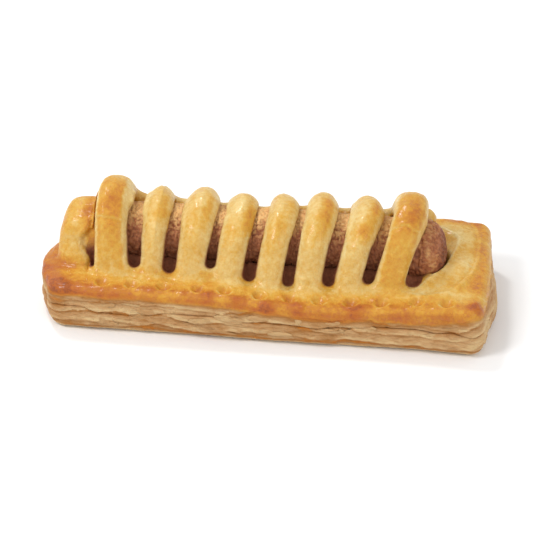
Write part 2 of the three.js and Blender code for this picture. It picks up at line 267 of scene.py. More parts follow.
def mark_place(i, side):
    """Middle of a docker mark, which wanders a little off its row"""
    along = FIRST_MARK + MARK_PITCH * i + 1.6 * float(noise(i * 1.7, side * 3.3))
    return along, side * MARK_ROW - 0.8 + 0.8 * float(noise(i * 2.3, 4.4))


MARKS = [mark_place(i, side) for side, count in ((-1, FRONT_MARKS), (1, BACK_MARKS)) for i in range(count)]


def ground_height(x, y):
    """Top of the rim, with its marks and blisters"""
    z = rim_height(x, y) + collar(x, y)
    for mx, my in MARKS:
        away = np.hypot(x - mx, y - my) / MARK_RADIUS
        z = z - MARK_DEPTH * mound(away, 3) + 0.22 * bell(away, 1.45, 0.3)
    for bx, by, size in BLISTERS:
        z = z + 0.1 * size * mound(np.hypot(x - bx, y - by) / size, 3)
    for n in range(BUBBLES):
        side = 1 if n % 3 == 0 else -1
        bx, by = 82 * (2 * dice(n, 3, 1) - 1), RIM_SHIFT + (25 + 7 * dice(n, 5, 2)) * side
        away = np.hypot(x - bx, y - by) / (0.8 + 1.1 * dice(n, 7, 3))
        z = z + (0.12 + 0.26 * dice(n, 9, 4)) * mound(away, 3)
    z = z + 0.35 * bell(y, -23.6, 0.9) * smoothstep(x, -20, 20) * fade(x, 52, 60)
    return z + 0.22 * rough(x / 5, y / 5) + 0.13 * noise(x / 1.4, y / 1.4)


def seam_height(x, y):
    """Where the top sheet of dough lies on the bottom one"""
    return SPLIT_HEIGHT + 1.3 * noise(x / 19, y / 19, 8.5) + 0.8 * noise(x / 7, y / 7, 2.2)


# Lower edge of the egg wash along the front: place along the roll, and height
WASH_X = [-80, -62, -43, -27, -13, -1, 13, 28, 62, 76]
WASH_Z = [16, 15.6, 16, 15.6, 14.7, 13.8, 13.3, 13, 13.4, 16.2]


def wash_line(x, y):
    """Height of the egg wash's lower edge on the sides of the jacket"""
    front = lerp(np.interp(x, WASH_X, WASH_Z), 15.6, smoothstep(y, -20, 10))
    return front + 0.4 * noise(x / 8, y / 8, 3.1) + 0.3 * noise(x / 2.6, y / 2.6, 9)


# Leaves of the laminated sides: pitch, how far they stand out, how deep they are torn, and a seed
LEAVES = ((4.3, 1.0, 0.35, 0), (1.7, 0.3, 0.2, 40))


def leaf_of(x, y, z, pitch, seed):
    """Which leaf of the laminated side a place is on, how far up it, and how strongly that leaf stands out"""
    slow = 2.0 * noise(x / 21, y / 21, 1.5 + seed) + 1.5 * noise(x / 8, y / 8, 7.3 + z / 9 + seed)
    level = (z + slow + 0.5 * noise(x / 3.2, y / 3.2, z / 4)) / pitch
    k = np.floor(level)
    return k, level - k, 0.5 + 0.5 * noise(k * 1.7 + seed, x / 10, y / 10)


def leaf_inset(x, y, z):
    """How far the laminated side is drawn in: leaves hang over each other, torn here and there"""
    line = wash_line(x, y)
    gaping = np.maximum(0.35 + 0.8 * noise(x / 9, y / 9, 6.1), 0)
    inset = 0.5 * SPLIT_DEPTH * bell(z, seam_height(x, y), 0.7) * gaping
    for pitch, reach, torn, seed in LEAVES:
        k, t, strength = leaf_of(x, y, z, pitch, seed)
        rip = noise(k * 2.3 + seed, x / 5, y / 5) + 0.35 * noise(x / 1.7, y / 1.7, z / 0.9)
        inset = inset + reach * strength * t**1.3 * fade(t, 0.84, 1) + torn * smoothstep(rip, 0.05, 0.3)
    inset = inset - 0.45 + 0.3 * noise(x / 6, y / 6, z / 4)
    return smoothstep(z, 0, 2.5) * fade(z, line - 0.5, line + 1.2) * inset


def crack_line(foot_x):
    """Angle of the shallow crack across the first and the last strip"""
    return np.where(foot_x < SLITS[1], FIRST_CRACK, LAST_CRACK) + 2 * noise(foot_x / 2, 0, 3)


def slit_share(steep, nearest):
    """Slits are narrower at the top of the arch. The first is a slim cut there and a hole low down"""
    usual = lerp(0.72, 1.08, np.clip(steep / 90, 0, 1))
    first = lerp(0.3, 1.5, smoothstep(steep, 52, 78)) - 1.0 * smoothstep(steep, 84, 110)
    return np.where(nearest == 0, first, usual)


def half_slit(steep, nearest):
    """Half the width of a slit at an angle from the top"""
    return SLIT_WIDTH[nearest] / 2 * slit_share(steep, nearest)


def leaning(degrees):
    """Share of a strip's lean that is left at an angle from the top"""
    return 1 - np.clip((np.abs(degrees) - LEAN_ANGLE) / (FOOT_ANGLE - LEAN_ANGLE), 0, 1) ** 1.2


def nearest_slit(foot_x):
    return np.clip(np.round((foot_x - FIRST_SLIT) / SLIT_PITCH), 0, SLIT_COUNT - 1).astype(np.int32)


def past_first_slit(foot_x, steep, reach, before):
    """From 0 to 1 across the first slit's middle: at once on the arch, over some distance near the rim"""
    reach = lerp(0.04, reach, smoothstep(steep, 74, 92))
    return smoothstep(foot_x, SLITS[0] - before * reach, SLITS[0] + reach)


def sheet_radius(foot_x, degrees):
    """Outside of the arched sheet, as a distance from the sausage's axis"""
    steep = np.abs(degrees)
    radius = lerp(np.interp(foot_x, TABLE_X, CREST_TABLE), WAIST, smoothstep(steep, 25, 80))
    radius = radius + 0.5 * noise(degrees / 34, foot_x / 7) * fade(steep, 70, 95)
    away = np.abs(foot_x - SLITS[nearest_slit(foot_x)])
    fall = CROWN_FALL * lerp(DOME_FALL, 1, past_first_slit(foot_x, steep, 2.5, 0.2))
    radius = radius - fall * fade(away, 1.5, 7.5) * (1 - 0.7 * smoothstep(steep, 60, 95))
    turn = np.radians(np.clip(degrees, 0, 100))
    shoulder = DOME_BACK / np.maximum(np.cos(turn) + FALL * np.sin(turn), 0.3)
    radius = np.where(foot_x < SLITS[0], np.minimum(radius, shoulder), radius)
    spread = np.clip((steep - FLARE_START) / (FOOT_ANGLE - FLARE_START), 0, 1.1)
    return radius + np.where(degrees < 0, FLARE_FRONT, FLARE_BACK) * spread**3


def slit_distance(foot_x, degrees, y, z):
    """Distance over the sheet from the middle of the nearest slit, and which slit it is"""
    nearest = nearest_slit(foot_x)
    half = half_slit(np.abs(degrees), 0)
    middle = SLITS[nearest] + np.where(nearest == 0, FIRST_EDGE - half, 0)
    below = (SLIT_STOP[nearest] + SLIT_WIDTH[nearest] * 0.55 - z - FALL * y) * 0.9
    past = np.maximum(0, np.maximum(below, (degrees - SLIT_BACK[nearest]) * math.radians(BACK_RADIUS)))
    return np.hypot(foot_x - middle, past), nearest


def bed_height(x, y):
    """Dough that the sausage has sunk into, with a fillet of dough along its foot whose colour is painted
    shade
    """
    bed = MEAT_HEIGHT - np.sqrt(np.maximum(BED_RADIUS**2 - y**2, (MEAT_HEIGHT - PIT_FLOOR) ** 2))
    heap = FILLET * (0.92 + 0.22 * noise(x / 1.7, y / 5, 3.3) + 0.12 * noise(x / 4.2, 0, 6.1))
    return bed + heap * bell(np.abs(y), 12.3, 2.7)


def hollow_width(x):
    """Width of the hollow's lower half against its height: snug at the open end"""
    return lerp(HOLLOW_WIDTH, MOUTH_WIDTH, smoothstep(x, 48, 57))


def arch_angle(foot_x, share, y, z, ground):
    """A place from the sausage's axis as it would be in the full arch, and its angle from the top"""
    arch_z = ground + (z - ground) / share - MEAT_HEIGHT
    arch_y = y / np.where(foot_x < SLITS[0], lerp(DOME_WAIST, 1, share), 1)
    return arch_y, arch_z, np.degrees(np.arctan2(arch_y, arch_z))


def arch_place(arch_x, y, z, ground):
    """Foot of the strip that a place is on, the share of the arch's height left there, and its arch_angle"""
    foot_x, share = arch_x, 1.0
    for _ in range(2):
        degrees = arch_angle(foot_x, share, y, z, ground)[2]
        raised = leaning(degrees)
        for _ in range(2):
            foot_x = (arch_x - np.interp(foot_x, TABLE_X, LEAN_TABLE) * raised).astype(np.float32)
        out = np.clip((SLITS[0] - foot_x) / DOME_LENGTH, 0, 1)
        dome = (1 - out**DOME_FULLNESS) ** (1 / DOME_FULLNESS)
        front = fade(foot_x, LAST_SLIT - 1.6, LAST_SLIT + 1.6)
        back = fade(foot_x, LAST_SLIT, LAST_SLIT + 9)
        share = np.maximum(dome * lerp(front, back, smoothstep(degrees, 10, 60)), 0.03).astype(np.float32)
    return foot_x, share, *arch_angle(foot_x, share, y, z, ground)


def sheet_field(place, x, y, z, plan, ground):
    """The arched sheet, before its slits are cut"""
    foot_x, share, arch_y, arch_z, degrees = place
    radius = sheet_radius(foot_x, degrees)
    radius = radius + 0.28 * noise(x / 4.5, y / 4.5, z / 4.5) + 0.27 * rough(x / 1.9, y / 1.9, z / 1.9, 2)
    radius = radius + 0.12 * noise(foot_x / 1.5, degrees / 30, 5.5)
    crack = crack_line(foot_x)
    cracked = ((foot_x > SLITS[0]) & (foot_x < SLITS[1])) | (foot_x > SLITS[-2])
    radius = radius - cracked * (0.45 * bell(degrees, crack, 1.6) - 0.3 * bell(degrees, crack + 3.2, 1.8))
    arch = (np.hypot(arch_y, arch_z) - radius) * np.sqrt(share)
    last = foot_x - lerp(LAST_SLIT - SLIT_HALF, LAST_SLIT + 6, smoothstep(degrees, 15, 60))
    arch = round_max(round_max(arch, plan + 2.5, 2.0), last, SLIT_ROUND)
    return np.maximum(arch, ground - 4.0 - z).astype(np.float32)


def slit_field(place, x, y, z, bed):
    """The slits, and the radius on their edges"""
    foot_x, _, arch_y, arch_z, degrees = place
    steep = np.abs(degrees)
    slot, nearest = slit_distance(foot_x, degrees, y, z)
    slot = slot - half_slit(steep, nearest) - 0.18 * noise(degrees / 22, nearest * 3.7)
    slot = slot - 0.12 * noise(x / 3, y / 3, z / 3)
    sill = FIRST_SILL - np.hypot(arch_y, arch_z)
    slot = np.where(nearest == 0, np.maximum(slot, sill), slot)
    slot = np.maximum(slot, bed - z)
    ribbon = np.minimum(np.abs(foot_x - SLITS[:2].mean()), np.abs(foot_x - SLITS[-2:].mean()))
    corner = lerp(END_ROUND, SLIT_ROUND, smoothstep(ribbon, 5, 10))
    corner = lerp(FIRST_ROUND, corner, past_first_slit(foot_x, steep, 1, 1))
    return slot.astype(np.float32), corner.astype(np.float32)


def hollow_field(x, y, z, bed):
    """The room that the sausage lies in, and the open end"""
    height = z - MEAT_HEIGHT
    middle = (MEAT_LEFT + MEAT_RIGHT) / 2 + HOLLOW_SHIFT
    straight = (MEAT_RIGHT - MEAT_LEFT) / 2 + HOLLOW_END - HOLLOW_SHIFT - MEAT_CAP
    bow = MEAT_SAG * np.cos((x - middle) / (straight + MEAT_CAP) * math.pi)
    end = np.maximum(0, np.abs(x - middle) - straight) / MEAT_CAP * HOLLOW_ROOM
    wide = lerp(hollow_width(x), UPPER_WIDTH, smoothstep(height, -3, 8))
    hollow = np.sqrt((y / wide) ** 2 + (height - bow) ** 2 + end**2) - HOLLOW_ROOM
    hollow = hollow + 0.25 * noise(x / 5, y / 5, z / 5)
    hollow = np.maximum(hollow, bed - z)
    mouth_z = height / np.where(height > 0, MOUTH_TOP, MEAT_HEIGHT - MOUTH_FLOOR)
    left = np.where(x < MOUTH[0], np.where(z > 21, 6.0, 2.4), 1.0)
    mouth = np.sqrt(reach_of(MOUTH[0] + (x - MOUTH[0]) * left, y, MOUTH) ** 2 + mouth_z**2)
    return soft_min(hollow, (mouth - 1) * MOUTH_SLOPE, 2.0)


def jacket_field(xs, ys, zs):
    """Signed field of the jacket on a grid of places: below 0 in the dough"""
    x2, y2 = [a.astype(np.float32) for a in np.meshgrid(xs, ys, indexing="ij")]
    px, py = straight_plan(x2, y2)
    ground = ground_height(px, py)[:, :, None]
    plan = (rim_distance(px, py) - CORNER_RADIUS - RIM_SWELL)[:, :, None]
    x, y = px[:, :, None], py[:, :, None]
    z = zs.astype(np.float32)[None, None, :]

    belly = smoothstep(x, 70, HALF_LENGTH) * bell(y, RIGHT_BULGE_Y, RIGHT_BULGE_WIDTH) * fade(z, 8, 19)
    side = plan + leaf_inset(x, y, z) - (RIGHT_BULGE - RIGHT_BULGE_TOP) * belly
    base = round_max(side, z - ground, TOP_EDGE_RADIUS)
    base = round_max(base, -z + 0 * side, BOTTOM_EDGE_RADIUS)

    place = arch_place(np.where(x2 < 0, x2, px)[:, :, None], y, z, ground)
    dough = soft_min(base, sheet_field(place, x, y, z, plan, ground), SHEET_FILLET)
    bed = bed_height(x, y)
    slot, corner = slit_field(place, x, y, z, bed)
    dough = round_max(dough, -slot, corner)
    return round_max(dough, -hollow_field(x, y, z, bed), HOLLOW_EDGE).astype(np.float32)


def biggest_island(count, quads):
    """Which quads belong to the largest connected part of a surface"""
    label = np.arange(count)
    a, b = quads[:, [0, 1, 2]].ravel(), quads[:, [1, 2, 3]].ravel()
    while True:
        low = np.minimum(label[a], label[b])
        new = label.copy()
        np.minimum.at(new, a, low)
        np.minimum.at(new, b, low)
        new = new[new[new]]
        if np.array_equal(new, label):
            break
        label = new
    names, sizes = np.unique(label[quads[:, 0]], return_counts=True)
    return label[quads[:, 0]] == names[np.argmax(sizes)]


def mesh_of_field(field, origin, step):
    """Vertices in millimetres and quads of the field's surface"""
    grid = openvdb.FloatGrid(3.0)
    grid.copyFromArray(np.ascontiguousarray(np.clip(field, -3, 3)))
    points, _, quads = grid.convertToPolygons(isovalue=0.0, adaptivity=0.0)
    quads = quads[biggest_island(len(points), quads)]
    used, quads = np.unique(quads, return_inverse=True)
    return points[used] * step + origin, quads.reshape(-1, 4)


# Place of the sausage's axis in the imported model's own frame
SHIFT = np.array([MEAT_BOX[0].x / MM - MEAT_LEFT, (MEAT_BOX[0].y + MEAT_BOX[1].y) / 2 / MM, 0.0])


def plant(name, points, faces, material):
    """A mesh object from points in millimetres round the sausage's axis"""
    mesh = bpy.data.meshes.new(name)
    mesh.from_pydata(((np.asarray(points) + SHIFT) * MM).tolist(), [], [tuple(f) for f in faces])
    mesh.validate()
    mesh.polygons.foreach_set("use_smooth", np.ones(len(mesh.polygons), bool))
    piece = bpy.data.objects.new(name, mesh)
    bpy.context.scene.collection.objects.link(piece)
    mesh.materials.append(material)
    return piece


def points_of(piece):
    """The piece's vertices in millimetres round the sausage's axis"""
    places = np.empty(len(piece.data.vertices) * 3, np.float32)
    piece.data.vertices.foreach_get("co", places)
    return places.reshape(-1, 3) / MM - SHIFT


def store(piece, name, values):
    layer = piece.data.attributes.new(name, "FLOAT", "POINT")
    layer.data.foreach_set("value", np.ascontiguousarray(np.clip(values, 0, 1), dtype=np.float32))


def bake_modifiers(piece):
    """Turns what the modifiers make into the piece's own mesh"""
    bpy.context.view_layer.update()
    graph = bpy.context.evaluated_depsgraph_get()
    mesh = bpy.data.meshes.new_from_object(
        piece.evaluated_get(graph), preserve_all_data_layers=True, depsgraph=graph)
    old = piece.data
    piece.modifiers.clear()
    piece.data = mesh
    mesh.name = piece.name
    bpy.data.meshes.remove(old)


def thin_hidden(piece, hidden):
    """Thins the mesh where nobody can see it, then the rest if it is still too heavy"""
    group = piece.vertex_groups.new(name="hidden")
    group.add([int(i) for i in np.nonzero(hidden)[0]], 1.0, "REPLACE")
    thinner = piece.modifiers.new("thin", "DECIMATE")
    thinner.vertex_group = "hidden"
    thinner.ratio = max(0.02, 1 - (1 - HIDDEN_KEPT) * float(np.mean(hidden)))
    thinner.use_collapse_triangulate = True
    bake_modifiers(piece)
    piece.vertex_groups.clear()
    count = sum(len(face.vertices) - 2 for face in piece.data.polygons)
    if count > MOST_TRIANGLES:
        piece.modifiers.new("fit", "DECIMATE").ratio = MOST_TRIANGLES / count
        bake_modifiers(piece)


def zones(p):
    """What a place on the jacket is: distance from the edge, ground, strip, angle and so on"""
    x, y, z = p[:, 0], p[:, 1], p[:, 2]
    px, py = straight_plan(x, y)
    degrees = np.degrees(np.arctan2(py, z - MEAT_HEIGHT))
    raised = leaning(degrees)
    arch_x = np.where(x < 0, x, px)
    foot_x = arch_x
    for _ in range(2):
        foot_x = arch_x - np.interp(foot_x, TABLE_X, LEAN_TABLE) * raised
    from_slit, nearest = slit_distance(foot_x, degrees, py, z)
    strip = np.clip(np.floor((foot_x - FIRST_SLIT) / SLIT_PITCH), -1, SLIT_COUNT - 1).astype(int)
    bow = MEAT_SAG * np.cos(px / 70 * math.pi)
    from_axis = np.hypot(py / hollow_width(px), z - MEAT_HEIGHT - bow)
    within = (px > MEAT_LEFT - 2) & (px < MEAT_RIGHT + 2) & (from_axis < HOLLOW_ROOM + 0.45)
    ground = rim_height(px, py) + collar(px, py)
    return dict(
        x=px, y=py, z=z, ground=ground, edge=CORNER_RADIUS - rim_distance(px, py),
        degrees=degrees, foot_x=foot_x, from_slit=from_slit, strip=strip, nearest=nearest, within=within,
        depth=sheet_radius(foot_x, degrees) - np.hypot(py, z - MEAT_HEIGHT))


def rim_tone(q, patch, fine):
    """How browned the rim is, with its marks, its blisters and the collar of the open end; it also carries
    painted shade and highlights on the marks and the collar, and painted light on the open end's inner wall
    and the right end
    """
    x, y, z, edge, ground = q["x"], q["y"], q["z"], q["edge"], q["ground"]
    rim = 0.38 + 0.12 * fade(edge, 4, 9) + 0.32 * (patch - 0.5) + 0.12 * bell(edge, 3.0, 1.8) * (0.5 + patch)
    rim += 0.16 * smoothstep(ground - z, 0.3, 2.4) * fade(edge, 2, 4) * fade(x, 70, 78)
    # Browner towards the left end. Less browned at the right end: painted light, since the lamps leave that
    # end darker
    rim += 0.1 * smoothstep(-x, 44, 66) - 0.1 * smoothstep(x, 66, 76) * (1.3 - patch)
    rim += 0.15 * smoothstep(-x, 48, 74) * bell(edge, 0.6, 1.6) * smoothstep(-y, 10, 25) * (0.4 + patch)
    rim += 0.12 * (patch - 0.5) + 0.08 * smoothstep(rough(x / 3.4, y / 3.4, 5), 0.15, 0.6)
    for bx, by, size in BLISTERS:
        rim += 0.26 * mound(np.hypot((x - bx) / 1.5, y - by) / size, 2.4) * (0.6 + 0.7 * patch)
    # Docker marks: the darker centre is painted shade in the dimple, and the pale crescent on the near side
    # is a painted highlight
    for mx, my in MARKS:
        away = np.hypot(x - mx, y - my) / MARK_RADIUS
        rim += 0.14 * mound(away, 4) - 0.34 * bell(away, 1.2, 0.3) * smoothstep(my - y, 0, 1.2)
    rim -= 0.16 * bell(y, -23.4, 1.3) * (0.6 + 0.4 * patch)
    hole, fold = reach_of(x, y, MOUTH), reach_of(x, y, COLLAR)
    # The collar is paler; the pale lines along the fold's ridge and along the hole's lip are painted
    # highlights, and the darker line in the crease is painted shade
    pale = 0.13 * (fold < 1) * (1.7 - 2.0 * patch) - 0.06 * bell(fold, 0.99, 0.03)
    pale += 0.24 * (bell(fold, 1.05, 0.04) * (0.5 + 0.8 * fine) + bell(hole, 1.03, 0.03))
    rim -= smoothstep(x, 50, 58) * pale
    # Painted light: the inner wall of the open end, which lies in the sausage's shade, gets a lighter, less
    # browned colour
    wall = smoothstep(x, 56, 62) * fade(hole, 0.96, 1.0) * (z < ground + 2)
    return lerp(rim, 0.34 + 0.1 * fine, wall)


def strip_tone(q, patch, fine):
    """How browned the dome, the strips and the back of the arched sheet are, with a painted highlight on each
    crown and painted shade in the cleft by the first slit
    """
    x, degrees, foot_x, strip = q["x"], q["degrees"], q["foot_x"], q["strip"]
    outermost = (strip == 0) | (strip == LAST_STRIP)
    flank = half_slit(np.abs(degrees), q["nearest"]) + np.where(outermost, 1.3, 1.5)
    across = fade(q["from_slit"] + 0.5 * fine, flank - 0.6, flank + 0.9)
    high = smoothstep(-degrees, -8, 18) * fade(-degrees, 34, 64)
    spot = 0.5 + 0.5 * rough(foot_x / 4.5 + 3, degrees / 26, 1.7, 2)
    place = (foot_x - FIRST_SLIT) / SLIT_PITCH - strip
    tone = 0.23 + 0.2 * (patch - 0.45) + 0.08 * high * smoothstep(spot, 0.45, 0.75) - 0.14 * across
    tone += 0.1 * (spot - 0.5) + 0.08 * bell(place, 0.66, 0.2) * bell(degrees, -24, 18) * (0.3 + spot)
    for k, middle, angle, wide, tall, amount in TOASTED:
        toast = bell(place, middle, wide) * bell(-degrees + 5 * fine, angle, tall)
        tone += amount * (strip == k) * toast * (0.95 + 0.8 * patch)
    # Painted highlight: a paler patch on each crown, just in front of its top and left of its middle
    tone -= 0.12 * bell(degrees, -7, 16) * bell(place, 0.38, 0.22)
    ends = outermost & (degrees < 70)
    baked = 0.2 * (0.6 + 0.4 * patch) + 0.1 * bell(place, 0.6, 0.3) * bell(degrees, -22, 20)
    tone += ends * (baked - 0.2 * bell(degrees, crack_line(foot_x) + 1.2, 1.3)) * (1 - across)
    # The dome is browner all over; the cleft where it runs down into the first slit is painted browner still:
    # painted shade
    cleft = bell(foot_x, SLITS[0] + 0.4, 3.0) * fade(-degrees, 84, 94) * (degrees < 20)
    tone += (foot_x < SLITS[0] + 2.2) * (0.13 + 0.12 * (patch - 0.5) + 0.24 * cleft)
    tone += 0.1 * smoothstep(-x, 74, 80) * (strip < 0)
    return tone + smoothstep(degrees, 32, 52) * (0.1 + 0.14 * (patch - 0.4))


def side_tone(q, line, patch):
    """How browned the leaves of the laminated sides are, with painted shade under each leaf's lip and painted
    light at the foot
    """
    x, y, z = q["x"], q["y"], q["z"]
    tone = 0.26 + 0.14 * noise(x / 9, y / 9, z / 3.2) + 0.1 * noise(x / 3.2, y / 3.2, z / 1.8)
    tone += 0.3 * (patch - 0.5) - 0.14 * smoothstep(x, 74, 79)
    for pitch, reach, _, seed in LEAVES:
        k, t, strength = leaf_of(x, y, z, pitch, seed)
        # Darker near the top of each leaf, in the groove under the next leaf's lip: painted shade. Paler just
        # above its lower edge
        tone += 0.42 * reach * strength * (bell(t, 1, 0.2) - 0.8 * bell(t, 0.16, 0.16))
        tone += 0.2 * reach * noise(k * 3.1, x / 14, y / 14)
    # Browner just under the egg wash. Paler at the foot: painted light against the shade under the rounded
    # bottom edge
    tone += 0.3 * smoothstep(z, line - 3.2, line - 0.4) - 0.35 * fade(z, 1.0, 2.4)
    foot = 2.8 + 0.9 * noise(x / 15, y / 15, 4)
    return tone + 0.34 * bell(z, foot, 0.6) + 0.14 * bell(z, seam_height(x, y), 0.6)


def paint_jacket(piece):
    """Stores how browned, glossy and laminated each place on the jacket is, and where shade is painted in the
    hollow and at the slit ends
    """
    p = points_of(piece)
    q = zones(p)
    x, y, z, edge, degrees = q["x"], q["y"], q["z"], q["edge"], q["degrees"]
    patch = 0.5 + 0.5 * rough(x / 7.5, y / 7.5, z / 7.5 + 3)
    fine = rough(x / 2.4, y / 2.4, z / 2.4 + 8)
    line = wash_line(x, y)
    leafy = fade(z, line - 1.1, line + 0.8) * fade(edge, 2.5, 4.5)
    under = fade(z, 0.2, 1.2)
    arched = smoothstep(z - q["ground"], -0.2, 4.5) * ~q["within"]
    bake = lerp(rim_tone(q, patch, fine), strip_tone(q, patch, fine), arched)
    bake = lerp(bake, side_tone(q, line, patch), leafy)
    bake = lerp(bake, 0.42 + 0.18 * (patch - 0.5), under * smoothstep(edge, 2, 5))
    for cx, cy, cz, size, amount in SCORCHED:
        away = np.hypot(np.hypot(p[:, 0] - cx, p[:, 1] - cy), (z - cz) * 0.9) / size
        bake += amount * mound(away, 2.5) * (0.5 + patch)

    # Painted shade: the ends of the slits and the lower hollow under the sheet get shade browns instead of
    # crust colours, with a lighter brown at the back of the hollow
    pit = (q["from_slit"] < SLIT_WIDTH[q["nearest"]] / 2 + 1.6) & (np.abs(y) < 25) & (degrees < -48)
    shallow = (q["nearest"] == 0) * fade(-degrees, 80, 90)
    sunk = smoothstep(q["depth"], 1.6, 3.4) * pit * smoothstep(-degrees, 48, 62) * (1 - shallow)
    inside = q["within"] * fade(z, 22, 29) * fade(x, 56, 61)
    moist = np.maximum(inside, sunk)
    store(piece, "cave", inside * smoothstep(y, -10.5, -8.5))
    store(piece, "bake", np.minimum(bake, MOST_BAKED) + 0.035 * fine)
    store(piece, "wash", (1 - leafy) * (1 - under) * (1 - moist))
    store(piece, "leafy", np.maximum(leafy, under * 0.5))
    store(piece, "moist", moist)


def group_tree(name, kind, inputs, outputs):
    """A node group, the sockets of what it is given, and the sockets of what it hands out"""
    tree = bpy.data.node_groups.new(name, kind)
    for label, value_kind, default in inputs:
        socket = tree.interface.new_socket(name=label, in_out="INPUT", socket_type="NodeSocket" + value_kind)
        if default is not None:
            socket.default_value = default
    for label, value_kind in outputs:
        tree.interface.new_socket(name=label, in_out="OUTPUT", socket_type="NodeSocket" + value_kind)
    return tree, tree.nodes.new("NodeGroupInput").outputs, tree.nodes.new("NodeGroupOutput").inputs


def feed(socket, source):
    """Links a socket to another one, or gives it a value of its own"""
    if hasattr(source, "is_output"):
        socket.id_data.links.new(source, socket)
    elif socket.type == "RGBA":
        socket.default_value = (*source[:3], 1)
    else:
        socket.default_value = source


def node(tree, kind, links=(), **values):
    """A node with its settings, then its inputs, each a socket or a value"""
    made = tree.nodes.new(kind)
    for key, value in values.items():
        setattr(made, key, value)
    for key, source in links:
        feed(made.inputs[key], source)
    return made


def result(tree, kind, links=(), **values):
    """First output of a new node"""
    return node(tree, kind, links, **values).outputs[0]


def maths(operation, a, b, clamp=False):
    tree = (a if hasattr(a, "is_output") else b).id_data
    return result(tree, "ShaderNodeMath", [(0, a), (1, b)], operation=operation, use_clamp=clamp)


def plus(a, b, clamp=False):
    return maths("ADD", a, b, clamp)


def minus(a, b, clamp=False):
    return maths("SUBTRACT", a, b, clamp)


def times(a, b):
    return maths("MULTIPLY", a, b)


def stretch(tree, source, low, high, to_low, to_high):
    """Takes the span from low to high over to the new span"""
    return result(tree, "ShaderNodeMapRange", [("Value", source), ("From Min", low), ("From Max", high),
                                               ("To Min", to_low), ("To Max", to_high)])


def bump(tree, height, strength, distance):
    return result(tree, "ShaderNodeBump", [
        ("Height", height), ("Strength", strength), ("Distance", distance)])


def attribute(tree, name):
    """A value that is stored on the mesh"""
    return node(tree, "ShaderNodeAttribute", attribute_name=name).outputs["Fac"]


def ramp(tree, source, stops):
    made = node(tree, "ShaderNodeValToRGB", [("Fac", source)])
    bar = made.color_ramp
    while len(bar.elements) < len(stops):
        bar.elements.new(0.5)
    for element, (place, shade) in zip(bar.elements, stops):
        element.position = place
        element.color = (*shade[:3], 1)
    return made.outputs["Color"]


def mix(tree, share, a, b):
    made = node(tree, "ShaderNodeMix", data_type="RGBA")
    for socket, source in ((made.inputs[0], share), (made.inputs[6], a), (made.inputs[7], b)):
        feed(socket, source)
    return made.outputs[2]


def linear(r, g, b):
    """A colour from its usual 0 to 255 numbers"""
    return tuple((v / 255 / 12.92) if v <= 10 else ((v / 255 + 0.055) / 1.055) ** 2.4 for v in (r, g, b))


def oven_tone_group():
    """Speckles and crackle that a hot oven leaves on dough: a share to add to the browning, and a height"""
    inputs = [("Vector", "Vector", None), ("Scale", "Float", 900.0), ("Speckle", "Float", 0.5)]
    outputs = [("Tone", "Float"), ("Height", "Float")]
    tree, given, out = group_tree("oven_tone", "ShaderNodeTree", inputs, outputs)
    place, large = ("Vector", given["Vector"]), ("Scale", given["Scale"])
    small = ("Scale", times(given["Scale"], 2.7))
    coarse = result(tree, "ShaderNodeTexNoise", [place, large, ("Detail", 4.0), ("Roughness", 0.62)])
    grain = result(tree, "ShaderNodeTexNoise", [place, small, ("Detail", 3.0), ("Roughness", 0.7)])
    speck = node(tree, "ShaderNodeTexVoronoi", [place, small], feature="F1").outputs["Distance"]
    dots = stretch(tree, speck, 0.12, 0.42, 1.0, 0.0)
    dotted = times(times(dots, given["Speckle"]), grain)
    feed(out["Tone"], plus(times(minus(coarse, 0.5), 0.62), times(dotted, 0.14)))
    feed(out["Height"], plus(times(coarse, 0.55), times(grain, 0.6)))


def oven_tone(tree, place, scale, speckle):
    """Tone and height of the shared oven group"""
    oven = node(tree, "ShaderNodeGroup", [("Vector", place), ("Scale", scale), ("Speckle", speckle)],
                node_tree=bpy.data.node_groups["oven_tone"])
    return oven.outputs["Tone"], oven.outputs["Height"]


def principled(name, **constants):
    """A new material with its tree, its shader, and the object coordinates"""
    material = bpy.data.materials.new(name)
    material.use_nodes = True
    tree = material.node_tree
    tree.nodes.clear()
    shader = node(tree, "ShaderNodeBsdfPrincipled")
    end = node(tree, "ShaderNodeOutputMaterial")
    tree.links.new(shader.outputs["BSDF"], end.inputs["Surface"])
    for label, value in constants.items():
        feed(shader.inputs[label.replace("_", " ")], value)
    return material, tree, shader.inputs, node(tree, "ShaderNodeTexCoord").outputs["Object"]


